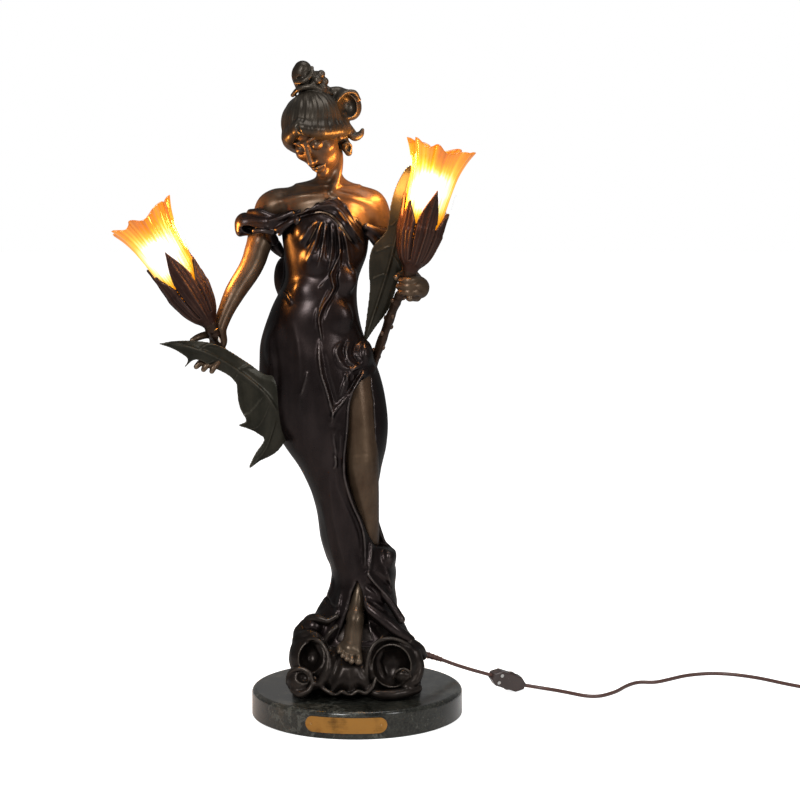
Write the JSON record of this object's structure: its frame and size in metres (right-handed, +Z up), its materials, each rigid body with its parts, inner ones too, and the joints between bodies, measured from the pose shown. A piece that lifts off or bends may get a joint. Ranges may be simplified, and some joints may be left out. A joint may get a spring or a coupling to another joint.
{
  "type": "figural table lamp",
  "caption": "Bronze-style draped figure on a rock and round marble base, holding flower-shaped glass lamp shades, with mains lead, in-line switch and plug",
  "frame": {"origin": "centre of the round underside, on the surface that the lamp stands on", "axes": "+Z up; -Y is the front, the side the figure faces; +X is the figure's own left, the side of the tall flower"},
  "size_m": [0.9253, 0.3012, 0.7352],
  "materials": {
    "felt": "felt",
    "marble": "polished dark green stone",
    "brass": "satin",
    "brass_dark": "aged",
    "steel": "zinc plated",
    "bronze": "dark patina",
    "bronze_dress": "dark satin patina",
    "bronze_skin": "warm brown patina",
    "bronze_hair": "dark brown patina",
    "bronze_leaf": "green-black patina",
    "bronze_stalk": "brown patina",
    "bronze_calyx": "red-brown patina",
    "plastic_dark": "moulded",
    "lead_sheath": "sheath",
    "cord_sheath": "dark brown sheath",
    "switch_plastic": "moulded",
    "plug_plastic": "moulded",
    "plated_brass": "nickel plated",
    "bulb_glass": "frosted",
    "amber_glass": "pressed amber"
  },
  "bodies": {
    "lamp": {"brass_plate": "brass", "cord_bushing": "plastic_dark", "cord_coil": "cord_sheath", "cord_lead": "cord_sheath", "cord_tail": "cord_sheath", "felt_pad": "felt", "figure_hair": "bronze_hair", "figure_head": "bronze_skin", "figure_skirt": "bronze_dress", "figure_torso": "bronze_dress", "fixing_nut": "steel", "fixing_stud": "steel", "fixing_washer": "steel", "hip_leaf": "bronze_leaf", "lead_connector": "plastic_dark", "left_arm": "bronze_skin", "left_bulb_cap": "plated_brass", "left_bulb_glass": "bulb_glass", "left_calyx": "bronze_calyx", "left_glass_shade": "amber_glass", "left_lamp_holder": "plastic_dark", "left_lead": "lead_sheath", "left_leg": "bronze_skin", "left_nipple": "brass", "left_nipple_collar": "brass", "left_nipple_nut": "brass", "left_shade_ring": "plastic_dark", "left_sleeve": "bronze_dress", "left_stalk": "bronze_stalk", "mains_inner_lead": "cord_sheath", "marble_base": "marble", "plate_pins": "brass_dark", "plug_body": "plug_plastic", "plug_pins": "plated_brass", "right_arm": "bronze_skin", "right_bulb_cap": "plated_brass", "right_bulb_glass": "bulb_glass", "right_calyx": "bronze_calyx", "right_foot": "bronze_skin", "right_glass_shade": "amber_glass", "right_lamp_holder": "plastic_dark", "right_lead": "lead_sheath", "right_nipple": "brass", "right_nipple_collar": "brass", "right_nipple_nut": "brass", "right_shade_ring": "plastic_dark", "right_sleeve": "bronze_dress", "right_stalk": "bronze_stalk", "rock_base": "bronze", "switch_axle": "steel", "switch_back": "switch_plastic", "switch_front": "switch_plastic", "switch_screws": "steel", "tall_leaf": "bronze_leaf"},
    "thumbwheel": {"switch_wheel": "switch_plastic"}
  },
  "joints": [
    {"name": "switch_wheel_turn", "type": "hinge", "parent": "lamp", "child": "thumbwheel", "pos_m": [0.17844, 0.09337, 0.01411], "axis": [0.4185, -0.8888, -0.1868], "continuous": true}
  ]
}
